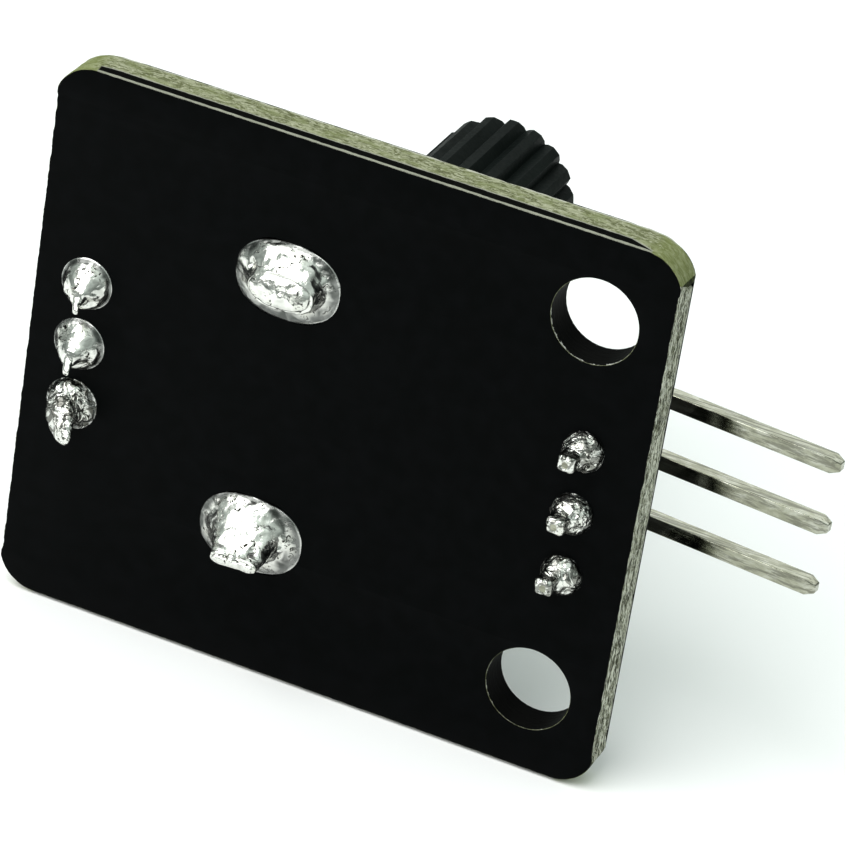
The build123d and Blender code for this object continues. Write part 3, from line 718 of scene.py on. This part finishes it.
def build_solder():
    upper = node_centre("solder_lug_upper")
    solder_joint(
        "lug_joint_upper", "solder_lug_upper", (upper.x, upper.z),
        [
            (JOINT_FOOT, 0, 0, 2.05, 1.52, 2.3),
            (0.03, 0, 0, 2.04, 1.51, 2.3),
            (0.10, -0.04, 0.04, 1.93, 1.43, 2.2),
            (0.22, -0.06, 0.15, 1.74, 1.24, 2.1),
            (0.45, 0.02, 0.17, 1.52, 1.02, 2.1),
            (0.70, 0.10, 0.11, 1.35, 0.85, 2.2),
            (0.88, 0.13, 0.04, 1.28, 0.74, 2.3),
            (0.97, 0.14, 0.00, 1.26, 0.70, 2.3),
            (1.00, 0.12, 0.04, 1.20, 0.58, 2.3),
            (1.12, 0.13, -0.03, 1.14, 0.50, 2.3),
            (1.21, 0.19, -0.12, 0.94, 0.38, 2.2),
            (1.26, 0.25, -0.20, 0.70, 0.24, 2.1),
            (1.29, 0.26, -0.24, 0.40, 0.11, 2.0),
            (1.29, 0.26, -0.24, 0.15, 0.04, 2.0),
        ],
        seed=11, wrinkle=1.5,
        dents=[
            (-1.20, 0.45, 0.26, 0.24), (0.25, 0.20, 0.22, 0.07),
            (0.60, 0.40, 0.18, 0.06), (1.30, 0.75, 0.26, 0.16),
        ],
    )
    lower = node_centre("solder_lug_lower")
    solder_joint(
        "lug_joint_lower", "solder_lug_lower", (lower.x, lower.z),
        [
            (JOINT_FOOT, 0, 0, 2.05, 1.52, 2.3),
            (0.03, 0, 0, 2.04, 1.51, 2.3),
            (0.10, -0.04, 0.03, 1.92, 1.43, 2.2),
            (0.30, -0.12, 0.09, 1.58, 1.19, 2.0),
            (0.60, -0.05, 0.08, 1.35, 0.94, 2.0),
            (0.95, 0.03, -0.02, 1.19, 0.72, 2.1),
            (1.25, 0.10, -0.11, 1.08, 0.53, 2.3),
            (1.50, 0.14, -0.19, 1.02, 0.39, 2.6),
            (1.76, 0.17, -0.25, 0.97, 0.28, 3.0),
            (1.87, 0.18, -0.28, 0.94, 0.24, 3.2),
            (1.90, 0.18, -0.29, 0.84, 0.16, 3.2),
            (1.95, 0.18, -0.29, 0.78, 0.13, 3.0),
            (1.97, 0.18, -0.29, 0.62, 0.08, 3.0),
            (1.97, 0.18, -0.29, 0.28, 0.03, 2.6),
        ],
        seed=23, wrinkle=1.7,
        dents=[
            (1.22, 0.20, 0.30, 0.24), (0.70, 0.16, 0.20, 0.18),
            (0.30, -0.08, 0.18, 0.14), (-0.10, -0.10, 0.16, 0.08),
        ],
    )
    shapes = {
        "a": (31, 1.1, SOLDER, [(0.38, -0.34, 0.36, 0.30)], [
            (0.11, 0.0, 0.0, 0.92, 0.92, 2.0),
            (0.32, 0.03, -0.05, 0.80, 0.80, 2.0),
            (0.56, 0.03, -0.11, 0.64, 0.63, 2.0),
            (0.78, 0.07, -0.13, 0.45, 0.43, 2.1),
            (0.93, 0.09, -0.17, 0.29, 0.34, 2.3),
            (1.02, 0.12, -0.28, 0.19, 0.20, 2.4),
            (1.12, 0.16, -0.36, 0.14, 0.16, 2.6),
            (1.28, 0.24, -0.44, 0.13, 0.14, 2.8),
            (1.37, 0.28, -0.49, 0.10, 0.10, 2.4),
            (1.39, 0.29, -0.50, 0.03, 0.03, 2.0),
        ]),
        "common": (47, 1.1, SOLDER, [(0.34, -0.44, 0.40, 0.32)], [
            (0.11, 0.0, 0.0, 0.92, 0.92, 2.0),
            (0.30, 0.03, -0.05, 0.80, 0.80, 2.0),
            (0.54, 0.03, -0.11, 0.64, 0.63, 2.0),
            (0.76, 0.07, -0.13, 0.46, 0.43, 2.1),
            (0.93, 0.09, -0.18, 0.31, 0.35, 2.3),
            (1.03, 0.09, -0.30, 0.19, 0.21, 2.4),
            (1.12, 0.13, -0.38, 0.16, 0.17, 2.6),
            (1.28, 0.18, -0.48, 0.15, 0.15, 2.8),
            (1.38, 0.21, -0.54, 0.10, 0.10, 2.4),
            (1.40, 0.22, -0.55, 0.03, 0.03, 2.0),
        ]),
        "b": (59, 2.4, DULL_SOLDER, (), [
            (0.12, 0.0, 0.0, 0.93, 0.93, 2.0),
            (0.34, -0.08, 0.02, 0.82, 0.80, 2.0),
            (0.62, -0.06, -0.02, 0.66, 0.64, 2.1),
            (0.92, 0.06, -0.16, 0.50, 0.54, 2.2),
            (1.16, 0.26, -0.40, 0.38, 0.42, 2.3),
            (1.36, 0.40, -0.60, 0.31, 0.31, 2.2),
            (1.49, 0.49, -0.71, 0.21, 0.20, 2.0),
            (1.53, 0.50, -0.73, 0.06, 0.06, 2.0),
        ]),
    }
    for terminal in TERMINALS:
        seed, wrinkle, finish, hollows, upper_rings = shapes[terminal]
        node = f"solder_terminal_{terminal}"
        low, high = node_box(node)
        radius = (high.x - low.x) / 2
        foot = [(JOINT_FOOT, 0, 0, radius, radius, 2.0), (0.02, 0, 0, radius, radius, 2.0)]
        centre = ((low.x + high.x) / 2, (low.z + high.z) / 2)
        rings = foot + upper_rings
        name = f"terminal_joint_{terminal}"
        solder_joint(name, node, centre, rings, seed, finish, wrinkle, hollows, HOLLOW_TOP)
    for number in HEADER_NUMBERS:
        build_header_joint(number)


def build_header_joint(number):
    """Dome round a pin's stub, which leans with the header and is wetted to its end."""
    node = f"solder_header_{number}"
    dome = node_centre(node)
    stub_low = node_box(f"header_pin_{number}")[0]
    stub_end = REAR_Y - stub_low.y
    end_x = stub_low.x + STUB_HALF_SIDE
    side = STUB_HALF_SIDE + SOLDER_SKIN

    def lean(height):
        """Shift of the stub's middle from the pad's middle, at a height behind the board."""
        return (end_x - dome.x) + (stub_end - height) * STUB_SLOPE

    rings = [
        (JOINT_FOOT, 0, 0, 0.80, 0.80, 2.0),
        (0.02, 0, 0, 0.80, 0.80, 2.0),
        (0.14, 0.0, 0.01, 0.78, 0.78, 2.0),
        (0.34, 0.0, 0.03, 0.69, 0.67, 2.0),
        (0.52, -0.02, 0.04, 0.57, 0.54, 2.1),
        (0.66, lean(0.66) / 2, 0.03, 0.46, 0.43, 2.4),
        (0.80, lean(0.80), 0.01, 0.37, 0.36, 3.4),
        (0.97, lean(0.97), 0.0, side, side, 4.5),
        (stub_end - 0.14, lean(stub_end - 0.14), 0.0, side, side, 5.0),
        (stub_end + 0.0, lean(stub_end), 0.0, side - 0.10, side - 0.10, 4.0),
        (stub_end + 0.02, lean(stub_end), 0.0, side - 0.18, side - 0.18, 3.5),
        (stub_end + 0.02, lean(stub_end), 0.0, 0.06, 0.06, 2.5),
    ]
    centre = (dome.x, dome.z)
    stub = lean(stub_end)
    dents = [(stub, 0.0, 0.25, 0.07), (stub + 0.62, -0.22, 0.22, 0.16), (stub + 0.50, 0.34, 0.15, 0.07)]
    solder_joint(f"header_joint_{number}", node, centre, rings, 67 + 9 * number, PIN_SOLDER, 1.1, dents)


build_solder()

# ---------------------------------------------------------------- pins, cover, base and shaft

EDGE_ROUNDING = {
    "header_pin": 0.045,
    "encoder_cover": 0.06,
    "encoder_base": 0.08,
    "header_block": 0.08,
    "shaft": 0.05,
}


def build_pins():
    for number in HEADER_NUMBERS:
        node = f"header_pin_{number}"
        nodes[node].data.materials.clear()
        nodes[node].data.materials.append(PIN)
        softened(node, EDGE_ROUNDING["header_pin"])


def build_housings():
    for node in ("encoder_cover", "encoder_base", "header_block"):
        softened(node, EDGE_ROUNDING[node])
    softened("shaft", EDGE_ROUNDING["shaft"], body="rotor")


build_pins()
build_housings()

# ---------------------------------------------------------------- bushing with its thread

THREAD_PITCH = 0.75
THREAD_DEPTH = 0.40
THREAD_START = 0.8
THREAD_RUN_IN = 0.5
THREAD_STEP = 0.05          # spacing of the rows that the thread is cut from
NECK_RADIUS = 3.3
NECK_TOP = 0.3
FLANGE_TOP = -0.5
BORE_CLEARANCE = 0.05
MOUTH_CHAMFER = 0.45
BORE_CHAMFER = 0.12
BUSHING_SEGMENTS = 120


def build_bushing():
    """Turned bushing: flange below the cover, plain neck, helical thread and a chamfered mouth."""
    low, high = node_box("bushing")
    length = high.y
    bore = node_box("shaft")[1].x + BORE_CLEARANCE
    segments = BUSHING_SEGMENTS
    below_thread = (
        (bore, low.y),
        (high.x, low.y),
        (high.x, FLANGE_TOP),
        (NECK_RADIUS, FLANGE_TOP),
        (NECK_RADIUS, NECK_TOP),
    )
    rows = [[corner] * segments for corner in below_thread]
    for step in range(int(length / THREAD_STEP) + 1):
        y = step * THREAD_STEP
        if y < NECK_TOP:
            continue
        row = []
        for k in range(segments):
            phase = ((y - THREAD_START) / THREAD_PITCH - k / segments) % 1.0
            cut = max(0.0, min(1.0, 1.25 * (0.5 - abs(phase - 0.5)) * 2 - 0.12))
            fade = min(1.0, max(0.0, (y - THREAD_START) / THREAD_RUN_IN))
            radius = BUSHING_RADIUS - THREAD_DEPTH * cut * fade
            chamfer = BUSHING_RADIUS - max(0.0, y - (length - MOUTH_CHAMFER))
            row.append((min(radius, chamfer), y))
        rows.append(row)
    rows.append([(bore + BORE_CHAMFER, length)] * segments)
    rows.append([(bore, length - BORE_CHAMFER)] * segments)
    points = []
    for row in rows:
        for k, (radius, y) in enumerate(row):
            turn = 2 * math.pi * k / segments
            points.append((radius * math.cos(turn), y, radius * math.sin(turn)))
    faces = []
    for level in range(len(rows)):
        for k in range(segments):
            a = level * segments + k
            b = level * segments + (k + 1) % segments
            c = ((level + 1) % len(rows)) * segments
            faces.append((a, b, c + (k + 1) % segments, c + k))
    piece = make_piece("threaded_bushing", points, faces, ZINC, sharp=40)
    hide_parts("bushing")


build_bushing()

# ---------------------------------------------------------------- floor, light and camera

FLOOR_HALF = 1.5            # metres
SKY_STRENGTH = 0.75
SKY_STOPS = ((0.0, (0.25, 0.285, 0.268, 1)), (0.5, (0.60, 0.68, 0.64, 1)), (1.0, (1.31, 1.46, 1.39, 1)))


def build_floor():
    r = Recipe("pale_floor", (0.93, 0.94, 0.935), roughness=0.9, Specular_IOR_Level=0.0)
    clouds = r.spread(r.noise(0.02, detail=2), 0.3, 0.7)
    r.color(r.mix(clouds, (0.925, 0.935, 0.93), (0.945, 0.95, 0.947)))
    level = cad_box[0].z
    mesh = bpy.data.meshes.new("floor")
    turns = ((-1, -1), (1, -1), (1, 1), (-1, 1))
    corners = [(x * FLOOR_HALF, y * FLOOR_HALF, level) for x, y in turns]
    mesh.from_pydata(corners, [], [(0, 1, 2, 3)])
    mesh.materials.append(r.material)
    floor = bpy.data.objects.new("floor", mesh)
    bpy.context.scene.collection.objects.link(floor)


def area_light(name, place, target, size, power, color=(1, 1, 1)):
    data = bpy.data.lights.new(name, "AREA")
    data.shape = "RECTANGLE"
    data.size = size[0]
    data.size_y = size[1]
    data.energy = power
    data.color = color
    light = bpy.data.objects.new(name, data)
    light.location = place
    light.rotation_euler = (Vector(target) - Vector(place)).to_track_quat("-Z", "Y").to_euler()
    bpy.context.scene.collection.objects.link(light)


def build_light():
    """Sky that brightens upwards, a key light behind the board and a weak one before it."""
    world = bpy.data.worlds.new("studio")
    bpy.context.scene.world = world
    world.use_nodes = True
    tree = world.node_tree
    background = tree.nodes["Background"]
    coordinates = tree.nodes.new("ShaderNodeTexCoord")
    split = tree.nodes.new("ShaderNodeSeparateXYZ")
    ramp = tree.nodes.new("ShaderNodeValToRGB")
    tree.links.new(coordinates.outputs["Generated"], split.inputs[0])
    tree.links.new(split.outputs["Z"], ramp.inputs["Fac"])
    tree.links.new(ramp.outputs["Color"], background.inputs["Color"])
    elements = ramp.color_ramp.elements
    elements.new(0.5)
    for element, (position, color) in zip(elements, SKY_STOPS):
        element.position = position
        element.color = color
    background.inputs["Strength"].default_value = SKY_STRENGTH
    area_light("key", (-0.09, -0.18, 0.23), (0, 0, 0), (0.30, 0.30), 1.05, (1.0, 0.975, 0.985))
    area_light("back", (-0.06, 0.34, 0.20), (0, 0, 0), (0.34, 0.16), 0.16)


CAMERA_TARGET = Vector((5.88, -8.0, 1.53))
CAMERA_DISTANCE = 186.1
CAMERA_AZIMUTH = 19.02      # degrees
CAMERA_ELEVATION = 28.99
CAMERA_ROLL = 9.40
CAMERA_LENS = 222.6
CAMERA_SENSOR = 36.0
CAMERA_CLIP = (0.001, 10.0)     # metres


def build_camera():
    azimuth = math.radians(CAMERA_AZIMUTH)
    elevation = math.radians(CAMERA_ELEVATION)
    away = Vector((
        math.sin(azimuth) * math.cos(elevation),
        -math.cos(azimuth) * math.cos(elevation),
        math.sin(elevation),
    ))
    data = bpy.data.cameras.new("camera")
    data.sensor_width = CAMERA_SENSOR
    data.lens = CAMERA_LENS
    data.clip_start, data.clip_end = CAMERA_CLIP
    camera = bpy.data.objects.new("camera", data)
    level = away.to_track_quat("Z", "Y").to_matrix()
    roll = Matrix.Rotation(math.radians(CAMERA_ROLL), 3, "Z")
    place = (CAMERA_TARGET + away * CAMERA_DISTANCE) * MM
    camera.matrix_world = Matrix.Translation(place) @ (level @ roll).to_4x4()
    bpy.context.scene.collection.objects.link(camera)
    bpy.context.scene.camera = camera
    bpy.context.scene.view_settings.view_transform = "Standard"


build_floor()
build_light()
build_camera()
